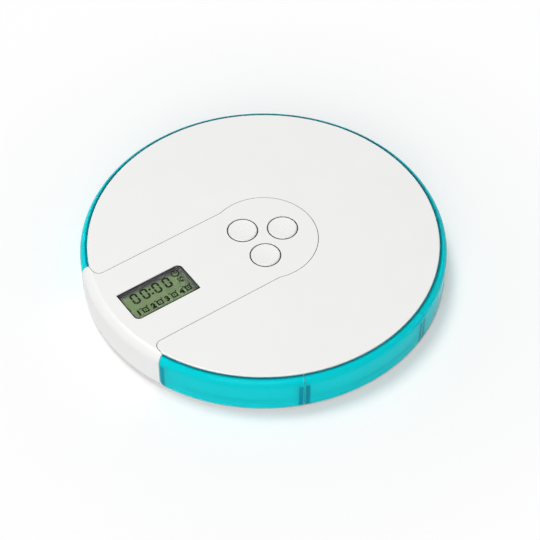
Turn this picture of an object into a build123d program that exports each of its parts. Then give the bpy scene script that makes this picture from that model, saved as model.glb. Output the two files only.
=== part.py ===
"""Automatic pill dispenser: a round, flat timer with seven pull-out compartments.

The origin is the centre of the footprint on the table, +Z is up, and +X points away from the
chin, which is the direction in which the display is read. All sizes are in millimetres.
"""

import os
from math import acos, asin, cos, degrees, hypot, radians, sin

from build123d import *

os.makedirs("parts", exist_ok=True)

# --- Overall form -------------------------------------------------------------------------
OUTER_R = 70.0  # drawer fronts, chin and base rim
COVER_R = 67.15  # edge of the white top cover
TOP_Z = 16.8  # flat top above the table
FOOT_H = 0.8  # underside of the base above the table
SHOULDER_R = 3.6  # quarter-round between the top and the side wall
FRONT_T = 1.55  # wall of the drawer fronts and the chin
SECTOR_DEG = 45.0  # seven drawers and the chin
HALF_DEG = SECTOR_DEG / 2
CHIN_DEG = 180.0
FIRST_JOINT_DEG = HALF_DEG  # direction of one of the eight joints between sectors
JOINT_GAP = 0.15  # from a drawer front's end to the joint plane
FRONT_DRAFT = 0.1  # how far the fronts draw in towards their lower edge
FRONT_CHAMFER = 0.3  # lower outer edge of the fronts and the chin
BURY = 0.2  # how far a rib or lug reaches into what it grows from
FIT_GAP = 0.15  # clearance round parts that move past each other
SMALL_EDGE = 0.3  # bevel of small moulded pieces

# --- Base ---------------------------------------------------------------------------------
FLOOR_T = 1.4
FLOOR_Z = FOOT_H + FLOOR_T
RIM_STEP_R = 68.2  # outside it the floor is thinner, so that the fronts hang over its edge
RIM_T = 0.7
RIM_TOP_Z = FOOT_H + RIM_T
PLATE_T = 1.8  # top cover and control panel
PLATE_Z = TOP_Z - PLATE_T
PARTITION_T = 1.4
PARTITION_END_R = RIM_STEP_R  # just inside the drawer fronts, where the walls close the joints
PARTITION_NOSE = 1.2  # bevel of their outer top corners, under the shoulder
CORE_WALL_R = 23.0  # inner face of the wall round the electronics
CORE_WALL_T = 1.2
RIM_FILLET = 0.5
RIM_BEVEL = 0.3  # lower edge of the base
TOE = 2.5  # rounded toe where the chin meets the base rim
TOE_INSET = 0.15  # its outer face stands this far inside the rim
SOUND_HOLE_R = 0.7
SOUND_RING_R = 2.8
SOUND_RING_HOLES = 3
RIB_T = 1.0  # locating ribs under the cover
RIB_L = 20.0
RIB_H = 1.0
RIB_MID_R = 46.0
RIB_GAP = 0.1
RIB_Y = PARTITION_T / 2 + RIB_GAP + RIB_T / 2  # a rib's middle beside a wall's

# --- Drawers ------------------------------------------------------------------------------
DRAWER_DEG = [CHIN_DEG + SECTOR_DEG * step for step in range(1, 8)]
TRAVEL = 30.0
SIDE_CLEAR = 0.35  # drawer side to partition
DRAWER_WALL = 1.2
DRAWER_REAR_R = CORE_WALL_R + CORE_WALL_T + 0.4
TRAY_TOP_Z = 12.8
RUNNER_H = 1.4
RUNNER_T = 1.2
RUNNER_Y = 6.0  # runner's middle from the slide axis
RUNNER_Z = FLOOR_Z + 0.1
TRAY_Z = RUNNER_Z + RUNNER_H
FRONT_Z = RIM_TOP_Z + 0.25
FRONT_IN_R = OUTER_R - FRONT_T
LIP_R = COVER_R + 0.3
STOP_BAR_R = 27.0
GUIDE_H = 1.3
GUIDE_START_R = 26.0
GUIDE_END_R = 62.0
LUG_W = 6.0
LUG_H = 1.2
LUG_FLAT = 0.6
LUG_RAMP = 3.4
LUG_R = STOP_BAR_R + RUNNER_T + TRAVEL + 0.2
CAVITY_R = 2.0  # upright corners of the cavity
CAVITY_FLOOR_R = 1.5  # where its walls meet its floor
TRAY_IN_FRONT = 0.6  # how far the tray reaches into the front

# --- Control panel and display --------------------------------------------------------------
DISC_R = 20.8  # round end of the keyhole
STRIP_HALF_W = 19.8
FLARE_X = -62.4  # where the strip widens to the whole chin
FLARE_R = 3.0
PANEL_GAP = 0.25
PANEL_EDGE = 0.15  # bevel of the window and the key holes
LEDGE_H = 1.1
LEDGE_IN = 1.0
LEDGE_OUT = 1.5
LEDGE_MAX_R = 65.8
WINDOW_X = (-61.4, -33.5)
WINDOW_W = 14.5
WINDOW_ROUND = 2.2  # two opposite corners; the other two are nearly sharp
WINDOW_SHARP = 0.3
WINDOW_MID_X = (WINDOW_X[0] + WINDOW_X[1]) / 2
WINDOW_L = WINDOW_X[1] - WINDOW_X[0]
LENS_T = 0.8
LENS_RECESS = 0.15
LENS_GAP = 0.05
LENS_Z = TOP_Z - LENS_RECESS - LENS_T
LCD_T = 1.1
LCD_TOP_Z = 15.5
LCD_Z = LCD_TOP_Z - LCD_T
LCD_L = 29.8
LCD_W = 16.4
LCD_GAP = 0.1  # LCD to the frame round it
FRAME_GAP = 0.1  # frame to the window's edge and to its pocket
FRAME_LIP = 0.35  # round the lens
FRAME_RIM = 0.6  # under the lens's edge
FRAME_L = LCD_L + 1.4
FRAME_W = LCD_W + 1.4
STRIP_T = 1.8  # elastomer contact strips
STRIP_END = 1.0  # from a strip's end to the LCD's end
STRIP_INSET = 1.2  # from a strip's middle to the LCD's edge

# --- Keys and electronics -------------------------------------------------------------------
KEY_DEG = {"right": 0.0, "upper_left": 120.0, "lower_left": 240.0}
KEY_RING_R = 8.85
KEY_R = 5.55
KEY_GAP = 0.45
KEY_TOP_Z = TOP_Z + 0.3
KEY_EDGE = 0.4  # bevel round a key's top
KEY_DISH = 0.25  # depth of a key's finger dish
KEY_FLANGE_R = 6.6
KEY_FLANGE_T = 0.8
KEY_FLANGE_TOP_Z = PLATE_Z - 0.1
KEY_WALL = 1.2
KEY_ROOF = 1.4
BOARD_Z = 9.0
BOARD_T = 1.6
BOARD_TOP_Z = BOARD_Z + BOARD_T
BOARD_DISC_R = 21.0
BOARD_END_R = 64.0
BOARD_GAP = 0.5
BOARD_HOLE_GAP = 0.2
SWITCH_SIDE = 6.2
SWITCH_H = 2.0
SWITCH_CORNER = 0.5
PLUNGER_R = 1.6
PLUNGER_TOP_Z = 13.6
PLUNGER_Z = BOARD_TOP_Z + 0.8  # leaves room for the press
SCREW_SPOTS = [(17 * cos(radians(a)), 17 * sin(radians(a))) for a in (60, 180, 300)]
SCREW_SPOTS += [(-55.0, 14.5), (-55.0, -14.5)]
BOSS_R = 2.3
SCREW_R = 1.0
SCREW_GAP = 0.1  # shank to the holes in the base
THREAD_GAP = 0.02  # shank to the hole in the panel's boss
THREAD_EXTRA = 0.5  # hole past the shank's tip
SCREW_HEAD_R = 1.9
SCREW_HEAD_GAP = 0.2
SCREW_HEAD_H = 1.4
SEAT_Z = 2.8  # where a screw head bears
BUZZER_X = -50.0
BUZZER_R = 6.0
BUZZER_H = 5.2
BUZZER_PORT_R = 1.0
BUZZER_PORT_DEPTH = 2.0
CRYSTAL_R = 1.0
CRYSTAL_L = 6.0
CRYSTAL_SPOT = (-28.0, 4.2)
CHIP_SPOT = (-26.5, -3.6)  # timer chip under its drop of resin
CHIP_R = 3.8
CHIP_H = 1.3

# --- Battery ----------------------------------------------------------------------------------
CELL_R = 10.0
CELL_H = 3.2
CELL_Z = 2.9
CELL_STEP = 1.3  # the top can is smaller than the rim by this
CELL_STEP_H = 0.3
WELL_R = 14.4
WELL_WALL = 1.2
WELL_ROOF_Z = 6.8
WELL_TOP_Z = 8.0
NEST_R = 10.3
NEST_WALL = 1.2
NEST_Z = 3.3
HATCH_R = 12.8  # twist cover
HATCH_T = 1.2
HATCH_GAP = 0.2
HATCH_RING_T = 1.0  # upright rings on the cover
HATCH_RING_INSET = 0.1
CELL_RING_R = 8.0  # the ring that holds the cell up
CELL_RING_GAP = 0.05
COIN_SLOT_L = 14.0
COIN_SLOT_W = 2.0
COIN_SLOT_DEPTH = 0.7
LOCK_DEG = [0.0, 120.0, 240.0]
LOCK_TURN = 45.0
LOCK_R = 13.9
LOCK_ARC = 22.0
LOCK_Z = FLOOR_Z + 0.15
LOCK_ROOT = 0.6  # how deep a lug is rooted in the ring
NOTCH_SLACK_DEG = 2.5
CONTACT_T = 0.3
CONTACT_W = 4.0
CONTACT_SLOT_T = 1.2
CONTACT_SLOT_W = CONTACT_W + 0.6
MINUS_X = 8.6  # upright tail of the minus contact
MINUS_TOUCH_X = (-3.0, 1.5)  # stretch that lies on the cell
MINUS_RISE_X = 4.5  # where it reaches the roof
PLUS_Z = CELL_Z + 0.7

# --- Feet -------------------------------------------------------------------------------------
PAD_R = 5.0
PAD_GAP = 0.1
PAD_H = 1.4
PAD_RING_R = 56.0


def heading(deg):
    """Unit vector in the floor plane at an angle from +X."""
    return Vector(cos(radians(deg)), sin(radians(deg)), 0)


def profile_plane(deg):
    """Upright plane through the middle: local x is the radius, local y is the height."""
    return Plane(origin=(0, 0, 0), x_dir=heading(deg), z_dir=heading(deg - 90))


def level_plane(deg, height):
    """Level plane whose local x points along a sector's middle."""
    return Plane(origin=(0, 0, height), x_dir=heading(deg), z_dir=(0, 0, 1))


def wedge(side_gap, mode):
    """Triangle between two joint planes, drawn in by a gap on each side."""
    apex = side_gap / sin(radians(HALF_DEG))
    reach = 2 * OUTER_R
    far_x = apex + reach * cos(radians(HALF_DEG))
    far_y = reach * sin(radians(HALF_DEG))
    with BuildLine() as sides:
        Polyline((apex, 0), (far_x, far_y), (far_x, -far_y), close=True)
    make_face(sides.edges(), mode=mode)


def arc_piece(half_arc, outer_r):
    """Slice of a disc about the local x axis."""
    reach = 2 * outer_r
    with BuildSketch(mode=Mode.PRIVATE) as piece:
        with BuildLine() as sides:
            tip = (reach * cos(radians(half_arc)), reach * sin(radians(half_arc)))
            Polyline((0, 0), tip, (tip[0], -tip[1]), close=True)
        make_face(sides.edges())
        Circle(outer_r, mode=Mode.INTERSECT)
    return piece.sketch


def shoulder_profile(inner_end_r, top_lip):
    """Section of a drawer front, or of the chin, from its lower edge over the shoulder."""
    mid = (OUTER_R - SHOULDER_R, TOP_Z - SHOULDER_R)
    inner_r = SHOULDER_R - FRONT_T
    foot_r = OUTER_R - FRONT_DRAFT
    with BuildLine() as section:
        if top_lip:
            outer_arc = degrees(acos((inner_end_r - mid[0]) / SHOULDER_R))
            inner_arc = degrees(acos((inner_end_r - mid[0]) / inner_r))
        else:
            outer_arc = 90
            inner_arc = 90 - degrees(acos((PLATE_Z - mid[1]) / inner_r))
        outside = CenterArc(mid, SHOULDER_R, 0, outer_arc)
        inside = CenterArc(mid, inner_r, 0, inner_arc)
        if top_lip:
            Line(outside @ 1, inside @ 1)
        else:
            Polyline(outside @ 1, (inner_end_r, TOP_Z), (inner_end_r, PLATE_Z), inside @ 1)
        Polyline(
            inside @ 0,
            (FRONT_IN_R, FRONT_Z),
            (foot_r - FRONT_CHAMFER, FRONT_Z),
            (foot_r, FRONT_Z + FRONT_CHAMFER),
            outside @ 0,
        )
    make_face(section.edges())


def toe_plane(joint, radius):
    """Plane across a radius, on the joint plane at the rim's top, looking outwards."""
    origin = heading(joint) * radius + Vector(0, 0, RIM_TOP_Z)
    return Plane(origin=origin, x_dir=heading(joint + 90), z_dir=heading(joint))


def toe_corner(side, clearance):
    """Square corner with a concave quarter-round, on one side of the joint plane."""
    with Locations((side * TOE / 2, TOE / 2)):
        Rectangle(TOE, TOE)
    with Locations((side * TOE, TOE)):
        Circle(TOE - clearance, mode=Mode.SUBTRACT)


def panel_outline(grow):
    """Keyhole of the control panel, grown all round: strip, round end and flare over the chin."""
    flare_x = FLARE_X + grow
    strip_half_w = STRIP_HALF_W + grow
    with BuildSketch(mode=Mode.PRIVATE) as outline:
        Circle(COVER_R + 1)
        with Locations((flare_x + OUTER_R, 0)):
            Rectangle(2 * OUTER_R, 2 * OUTER_R, mode=Mode.SUBTRACT)
        with Locations(((flare_x - 2) / 2, 0)):
            Rectangle(2 - flare_x, 2 * strip_half_w)
        at_flare = outline.vertices().filter_by_position(Axis.X, flare_x - 0.1, flare_x + 0.1)
        corners = at_flare.sort_by(lambda vertex: abs(vertex.Y))[:2]
        fillet(corners, FLARE_R - grow)
        Circle(DISC_R + grow)
    return outline.sketch


def window_outline(grow):
    """Display opening, grown all round: two opposite corners are round, two nearly sharp."""
    half_l = WINDOW_L / 2 + grow
    half_w = WINDOW_W / 2 + grow
    with BuildSketch(mode=Mode.PRIVATE) as outline:
        Rectangle(2 * half_l, 2 * half_w)
        corners = outline.vertices()
        fillet(corners.filter_by(lambda corner: corner.X * corner.Y > 0), WINDOW_ROUND + grow)
        corners = outline.vertices().filter_by_position(Axis.X, half_l - 0.01, half_l + 0.01)
        corners += outline.vertices().filter_by_position(Axis.X, -half_l - 0.01, 0.01 - half_l)
        corners = corners.filter_by(lambda corner: abs(abs(corner.Y) - half_w) < 0.01)
        fillet(corners, max(WINDOW_SHARP + grow, 0.1))
    return outline.sketch.moved(Location((WINDOW_MID_X, 0, 0)))


# --- Base shell -------------------------------------------------------------------------------
# Lower moulding: floor, battery well, screw posts, drawer guides and stops, and sockets for the walls.
with BuildPart() as base_shell:
    with BuildSketch(Plane.XY.offset(FOOT_H)):
        Circle(OUTER_R)
    extrude(amount=FLOOR_T)
    chamfer(base_shell.edges().group_by(Axis.Z)[0], RIM_BEVEL)
    with BuildSketch(Plane.XY.offset(RIM_TOP_Z)):
        Circle(OUTER_R + 1)
        Circle(RIM_STEP_R, mode=Mode.SUBTRACT)
    extrude(amount=FLOOR_T, mode=Mode.SUBTRACT)

    # Pairs of ribs that the bay walls stand between.
    for step in range(8):
        with BuildSketch(level_plane(FIRST_JOINT_DEG + SECTOR_DEG * step, FLOOR_Z)):
            with Locations((RIB_MID_R, RIB_Y), (RIB_MID_R, -RIB_Y)):
                Rectangle(RIB_L, RIB_T)
        extrude(amount=RIB_H)

    with BuildSketch(Plane.XY.offset(FLOOR_Z)):
        Circle(WELL_R + WELL_WALL)
    extrude(amount=WELL_TOP_Z - FLOOR_Z)
    with BuildSketch(Plane.XY.offset(FLOOR_Z)):
        with Locations(*SCREW_SPOTS):
            Circle(BOSS_R)
    extrude(amount=BOARD_Z - FLOOR_Z)
    with BuildSketch(Plane.XY.offset(FLOOR_Z)):
        Circle(WELL_R)
    extrude(amount=WELL_ROOF_Z - FLOOR_Z, mode=Mode.SUBTRACT)
    with BuildSketch(Plane.XY.offset(NEST_Z)):
        Circle(NEST_R + NEST_WALL)
        Circle(NEST_R, mode=Mode.SUBTRACT)
    extrude(amount=WELL_ROOF_Z - NEST_Z)

    # Floor opening for the twist cover, with its three entry notches.
    with BuildSketch(Plane.XY.offset(FOOT_H)):
        Circle(HATCH_R + HATCH_GAP)
        notch = arc_piece(LOCK_ARC / 2 + NOTCH_SLACK_DEG, LOCK_R + HATCH_GAP)
        for lock in LOCK_DEG:
            add(notch.rotate(Axis.Z, lock - LOCK_TURN))
    extrude(amount=FLOOR_T, mode=Mode.SUBTRACT)

    # Slots through the roof of the well, where the contacts pass up to the board.
    with BuildSketch(Plane.XY.offset(NEST_Z)):
        with Locations((0, CELL_R + CONTACT_T)):
            Rectangle(CONTACT_SLOT_W, CONTACT_SLOT_T)
    extrude(amount=WELL_TOP_Z - NEST_Z, mode=Mode.SUBTRACT)
    with BuildSketch(Plane.XY.offset(WELL_ROOF_Z)):
        with Locations((MINUS_X, 0)):
            Rectangle(CONTACT_SLOT_T, CONTACT_SLOT_W)
    extrude(amount=WELL_TOP_Z - WELL_ROOF_Z, mode=Mode.SUBTRACT)

    # Guides and ramped stop of each drawer bay.
    guide_y = RUNNER_Y + RUNNER_T + FIT_GAP
    for bay in DRAWER_DEG:
        with BuildSketch(level_plane(bay, FLOOR_Z)):
            for side in (-1, 1):
                with Locations(((GUIDE_START_R + GUIDE_END_R) / 2, side * guide_y)):
                    Rectangle(GUIDE_END_R - GUIDE_START_R, RUNNER_T)
        extrude(amount=GUIDE_H)
        with BuildSketch(profile_plane(bay)):
            with BuildLine():
                Polyline(
                    (LUG_R, FLOOR_Z - BURY),
                    (LUG_R, FLOOR_Z + LUG_H),
                    (LUG_R + LUG_FLAT, FLOOR_Z + LUG_H),
                    (LUG_R + LUG_RAMP, FLOOR_Z - BURY),
                    close=True,
                )
            make_face()
        extrude(amount=LUG_W / 2, both=True)

    # Rounded toes where the chin meets the base rim.
    for side in (-1, 1):
        with BuildSketch(toe_plane(CHIN_DEG + side * HALF_DEG, FRONT_IN_R)):
            toe_corner(side, 0)
        extrude(amount=FRONT_T - TOE_INSET)

    # Screw holes with counterbores, sound holes under the buzzer, and pockets for the pads.
    with BuildSketch(Plane.XY.offset(FOOT_H)):
        with Locations(*SCREW_SPOTS):
            Circle(SCREW_HEAD_R + SCREW_HEAD_GAP)
    extrude(amount=SEAT_Z - FOOT_H, mode=Mode.SUBTRACT)
    with BuildSketch(Plane.XY.offset(FOOT_H)):
        with Locations(*SCREW_SPOTS):
            Circle(SCREW_R + SCREW_GAP)
        with Locations((BUZZER_X, 0)):
            Circle(SOUND_HOLE_R)
            with PolarLocations(SOUND_RING_R, SOUND_RING_HOLES):
                Circle(SOUND_HOLE_R)
    extrude(amount=BOARD_Z - FOOT_H, mode=Mode.SUBTRACT)
    with BuildSketch(Plane.XY.offset(FOOT_H)):
        with PolarLocations(PAD_RING_R, 4, start_angle=SECTOR_DEG):
            Circle(PAD_R + PAD_GAP)
    extrude(amount=PAD_H - FOOT_H, mode=Mode.SUBTRACT)
base_shell.part.label = "base_shell"
export_step(base_shell.part, "parts/base_shell.step")

# --- Bay frame ----------------------------------------------------------------------------------
# Inner moulding: the round wall round the electronics and the eight walls between the bays.
with BuildPart() as bay_frame:
    with BuildSketch(Plane.XY.offset(FLOOR_Z)):
        Circle(CORE_WALL_R + CORE_WALL_T)
        Circle(CORE_WALL_R, mode=Mode.SUBTRACT)
        with Locations((-CORE_WALL_R, 0)):
            Rectangle(4 * CORE_WALL_T, 2 * CORE_WALL_R * sin(radians(HALF_DEG)), mode=Mode.SUBTRACT)
        partition_length = PARTITION_END_R - CORE_WALL_R - CORE_WALL_T / 2
        partition_mid = PARTITION_END_R - partition_length / 2
        with PolarLocations(partition_mid, 8, start_angle=FIRST_JOINT_DEG):
            Rectangle(partition_length, PARTITION_T)
    extrude(amount=PLATE_Z - FLOOR_Z)
    top_edges = bay_frame.edges().group_by(Axis.Z)[-1]
    chamfer(top_edges.filter_by(lambda edge: hypot(*edge.center()) > PARTITION_END_R), PARTITION_NOSE)

    # Clearance over the walls for the ledge under the panel's edge.
    with BuildSketch(Plane.XY.offset(PLATE_Z)):
        add(panel_outline(LEDGE_OUT + FIT_GAP))
        add(panel_outline(-LEDGE_IN - PANEL_GAP - FIT_GAP), mode=Mode.SUBTRACT)
    extrude(amount=-LEDGE_H - FIT_GAP, mode=Mode.SUBTRACT)
bay_frame.part.label = "bay_frame"
export_step(bay_frame.part, "parts/bay_frame.step")

# --- Top cover ----------------------------------------------------------------------------------
# White disc over the bays. It has a keyhole opening with a ledge that carries the panel.
with BuildPart() as top_cover:
    with BuildSketch(Plane.XY.offset(PLATE_Z)):
        Circle(COVER_R)
        add(panel_outline(PANEL_GAP), mode=Mode.SUBTRACT)
    extrude(amount=PLATE_T)
    rim = top_cover.edges().filter_by(GeomType.CIRCLE).filter_by(lambda e: abs(e.radius - COVER_R) < 1e-3)
    fillet(rim.group_by(Axis.Z)[-1], RIM_FILLET)
    with BuildSketch(Plane.XY.offset(PLATE_Z)):
        add(panel_outline(LEDGE_OUT))
        add(panel_outline(-LEDGE_IN), mode=Mode.SUBTRACT)
        Circle(LEDGE_MAX_R, mode=Mode.INTERSECT)
    extrude(amount=-LEDGE_H)

    # Pairs of ribs that sit astride six of the partitions.
    for bay in DRAWER_DEG[:-1]:
        with BuildSketch(level_plane(bay + HALF_DEG, PLATE_Z)):
            with Locations((RIB_MID_R, RIB_Y), (RIB_MID_R, -RIB_Y)):
                Rectangle(RIB_L, RIB_T)
        extrude(amount=-RIB_H)
top_cover.part.label = "top_cover"
export_step(top_cover.part, "parts/top_cover.step")

# --- Control panel ------------------------------------------------------------------------------
# Keyhole plate, flush with the cover, that turns down over the shoulder to form the chin.
with BuildPart() as control_panel:
    with BuildSketch(Plane.XY.offset(PLATE_Z)):
        add(panel_outline(0))
        Circle(OUTER_R - SHOULDER_R + BURY, mode=Mode.INTERSECT)
    extrude(amount=PLATE_T)
    chin_gap_deg = degrees(JOINT_GAP / OUTER_R)
    with BuildSketch(profile_plane(CHIN_DEG - HALF_DEG + chin_gap_deg)):
        shoulder_profile(OUTER_R - SHOULDER_R - BURY, False)
    revolve(axis=Axis.Z, revolution_arc=SECTOR_DEG - 2 * chin_gap_deg)
    with BuildSketch(Plane.XY.offset(PLATE_Z)):
        Circle(COVER_R + PANEL_GAP)
        add(panel_outline(0), mode=Mode.SUBTRACT)
    extrude(amount=PLATE_T, mode=Mode.SUBTRACT)

    # Screw bosses that press the board onto the base's posts.
    with BuildSketch(Plane.XY.offset(BOARD_TOP_Z)):
        with Locations(*SCREW_SPOTS):
            Circle(BOSS_R)
    extrude(amount=PLATE_Z - BOARD_TOP_Z)
    with BuildSketch(Plane.XY.offset(BOARD_TOP_Z)):
        with Locations(*SCREW_SPOTS):
            Circle(SCREW_R + THREAD_GAP)
    extrude(amount=PLATE_Z - BOARD_TOP_Z + THREAD_EXTRA, mode=Mode.SUBTRACT)

    # Key holes, and the display's window with the pocket behind it for its frame.
    with BuildSketch(Plane.XY.offset(PLATE_Z)):
        add(window_outline(0))
        with PolarLocations(KEY_RING_R, 3):
            Circle(KEY_R + KEY_GAP)
    extrude(amount=PLATE_T, mode=Mode.SUBTRACT)
    top_face = control_panel.faces().filter_by(Axis.Z).sort_by(Axis.Z)[-1]
    chamfer(top_face.inner_wires().edges(), PANEL_EDGE)
    with BuildSketch(Plane.XY.offset(PLATE_Z)):
        with Locations((WINDOW_MID_X, 0)):
            Rectangle(FRAME_L + 2 * FRAME_GAP, FRAME_W + 2 * FRAME_GAP)
    extrude(amount=LENS_Z + FRAME_GAP - PLATE_Z, mode=Mode.SUBTRACT)
control_panel.part.label = "control_panel"
export_step(control_panel.part, "parts/control_panel.step")

# --- Display: lens, frame, LCD and its contact strips -------------------------------------------
with BuildPart() as display_window:
    with BuildSketch(Plane.XY.offset(LENS_Z)):
        add(window_outline(-FRAME_GAP - FRAME_LIP - LENS_GAP))
    extrude(amount=LENS_T)
display_window.part.label = "display_window"
export_step(display_window.part, "parts/display_window.step")

with BuildPart() as lcd_frame:
    with BuildSketch(Plane.XY.offset(LCD_Z)):
        with Locations((WINDOW_MID_X, 0)):
            Rectangle(FRAME_L, FRAME_W)
    extrude(amount=LENS_Z - LCD_Z)
    with BuildSketch(Plane.XY.offset(LENS_Z)):
        add(window_outline(-FRAME_GAP))
        add(window_outline(-FRAME_GAP - FRAME_LIP), mode=Mode.SUBTRACT)
    extrude(amount=LENS_T)
    with BuildSketch(Plane.XY.offset(LCD_Z)):
        add(window_outline(-FRAME_GAP - FRAME_RIM))
    extrude(amount=LENS_Z - LCD_Z, mode=Mode.SUBTRACT)
    with BuildSketch(Plane.XY.offset(LCD_Z)):
        with Locations((WINDOW_MID_X, 0)):
            Rectangle(LCD_L + 2 * LCD_GAP, LCD_W + 2 * LCD_GAP)
    extrude(amount=LCD_T, mode=Mode.SUBTRACT)
lcd_frame.part.label = "lcd_frame"
export_step(lcd_frame.part, "parts/lcd_frame.step")

with BuildPart() as lcd_glass:
    with BuildSketch(Plane.XY.offset(LCD_Z)):
        with Locations((WINDOW_MID_X, 0)):
            Rectangle(LCD_L, LCD_W)
    extrude(amount=LCD_T)
lcd_glass.part.label = "lcd_glass"
export_step(lcd_glass.part, "parts/lcd_glass.step")

with BuildPart() as contact_strips:
    with BuildSketch(Plane.XY.offset(BOARD_TOP_Z)):
        strip_y = LCD_W / 2 - STRIP_INSET
        with Locations((WINDOW_MID_X, strip_y), (WINDOW_MID_X, -strip_y)):
            Rectangle(LCD_L - 2 * STRIP_END, STRIP_T)
    extrude(amount=LCD_Z - BOARD_TOP_Z)
contact_strips.part.label = "contact_strips"
export_step(contact_strips.part, "parts/contact_strips.step")

# --- Circuit board and what is soldered to it ---------------------------------------------------
with BuildPart() as circuit_board:
    with BuildSketch(level_plane(CHIN_DEG, BOARD_Z)):
        wedge(PARTITION_T / 2 + BOARD_GAP, Mode.ADD)
        Circle(BOARD_END_R, mode=Mode.INTERSECT)
        Circle(BOARD_DISC_R)
    extrude(amount=BOARD_T)
    with BuildSketch(Plane.XY.offset(BOARD_Z)):
        with Locations(*SCREW_SPOTS):
            Circle(SCREW_R + BOARD_HOLE_GAP)
    extrude(amount=BOARD_T, mode=Mode.SUBTRACT)
circuit_board.part.label = "circuit_board"
export_step(circuit_board.part, "parts/circuit_board.step")

with BuildPart() as buzzer:
    with BuildSketch(Plane.XY.offset(BOARD_Z)):
        with Locations((BUZZER_X, 0)):
            Circle(BUZZER_R)
    extrude(amount=-BUZZER_H)
    with BuildSketch(Plane.XY.offset(BOARD_Z - BUZZER_H)):
        with Locations((BUZZER_X, 0)):
            Circle(BUZZER_PORT_R)
    extrude(amount=BUZZER_PORT_DEPTH, mode=Mode.SUBTRACT)
buzzer.part.label = "buzzer"
export_step(buzzer.part, "parts/buzzer.step")

with BuildPart() as clock_crystal:
    with BuildSketch(Plane.YZ.offset(CRYSTAL_SPOT[0])):
        with Locations((CRYSTAL_SPOT[1], BOARD_TOP_Z + CRYSTAL_R)):
            Circle(CRYSTAL_R)
    extrude(amount=CRYSTAL_L)
clock_crystal.part.label = "clock_crystal"
export_step(clock_crystal.part, "parts/clock_crystal.step")

with BuildPart() as timer_chip:
    with BuildSketch(Plane(origin=(*CHIP_SPOT, BOARD_TOP_Z), x_dir=(1, 0, 0), z_dir=(0, -1, 0))):
        dome_r = (CHIP_R**2 + CHIP_H**2) / (2 * CHIP_H)
        dome_deg = degrees(asin(CHIP_R / dome_r))
        with BuildLine():
            Polyline((0, CHIP_H), (0, 0), (CHIP_R, 0))
            CenterArc((0, CHIP_H - dome_r), dome_r, 90 - dome_deg, dome_deg)
        make_face()
    revolve(axis=Axis((*CHIP_SPOT, 0), (0, 0, 1)))
timer_chip.part.label = "timer_chip"
export_step(timer_chip.part, "parts/timer_chip.step")


# --- Keys: cap, plunger and switch body at three places ------------------------------------------
def key_section(spot):
    """Upright plane through a key's middle."""
    return Plane(origin=(spot.X, spot.Y, 0), x_dir=(1, 0, 0), z_dir=(0, -1, 0))


for place, key_deg in KEY_DEG.items():
    spot = heading(key_deg) * KEY_RING_R
    spin = Axis((spot.X, spot.Y, 0), (0, 0, 1))
    flange_z = KEY_FLANGE_TOP_Z - KEY_FLANGE_T
    dish_half = KEY_R - KEY_EDGE
    dish_r = (dish_half**2 + KEY_DISH**2) / (2 * KEY_DISH)

    # Hollow round cap with a shallow finger dish, a flange under the panel and a centre stem.
    with BuildPart() as key_cap:
        with BuildSketch(key_section(spot)):
            with BuildLine():
                Polyline(
                    (dish_half, KEY_TOP_Z),
                    (KEY_R, KEY_TOP_Z - KEY_EDGE),
                    (KEY_R, KEY_FLANGE_TOP_Z),
                    (KEY_FLANGE_R, KEY_FLANGE_TOP_Z),
                    (KEY_FLANGE_R, flange_z),
                    (KEY_R - KEY_WALL, flange_z),
                    (KEY_R - KEY_WALL, KEY_TOP_Z - KEY_ROOF),
                    (PLUNGER_R, KEY_TOP_Z - KEY_ROOF),
                    (PLUNGER_R, PLUNGER_TOP_Z),
                    (0, PLUNGER_TOP_Z),
                    (0, KEY_TOP_Z - KEY_DISH),
                )
                CenterArc((0, KEY_TOP_Z - KEY_DISH + dish_r), dish_r, 270, degrees(asin(dish_half / dish_r)))
            make_face()
        revolve(axis=spin)
    key_cap.part.label = f"button_{place}"
    export_step(key_cap.part, f"parts/button_{place}.step")

    with BuildPart() as plunger:
        with BuildSketch(Plane.XY.offset(PLUNGER_Z)):
            with Locations(spot):
                Circle(PLUNGER_R)
        extrude(amount=PLUNGER_TOP_Z - PLUNGER_Z)
    plunger.part.label = f"plunger_{place}"
    export_step(plunger.part, f"parts/plunger_{place}.step")

    with BuildPart() as switch_body:
        with BuildSketch(Plane.XY.offset(BOARD_TOP_Z)):
            with Locations(spot):
                Rectangle(SWITCH_SIDE, SWITCH_SIDE)
        extrude(amount=SWITCH_H)
        chamfer(switch_body.edges().filter_by(Axis.Z), SWITCH_CORNER)
        with BuildSketch(Plane.XY.offset(BOARD_TOP_Z)):
            with Locations(spot):
                Circle(PLUNGER_R + FIT_GAP)
        extrude(amount=SWITCH_H, mode=Mode.SUBTRACT)
    switch_body.part.label = f"switch_{place}"
    export_step(switch_body.part, f"parts/switch_{place}.step")

# --- Battery: cell, two contacts and the twist cover ----------------------------------------------
with BuildPart() as coin_cell:
    with BuildSketch(Plane.XY.offset(CELL_Z)):
        Circle(CELL_R)
    extrude(amount=CELL_H - CELL_STEP_H)
    with BuildSketch(Plane.XY.offset(CELL_Z + CELL_H - CELL_STEP_H)):
        Circle(CELL_R - CELL_STEP)
    extrude(amount=CELL_STEP_H)
coin_cell.part.label = "coin_cell"
export_step(coin_cell.part, "parts/coin_cell.step")

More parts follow.
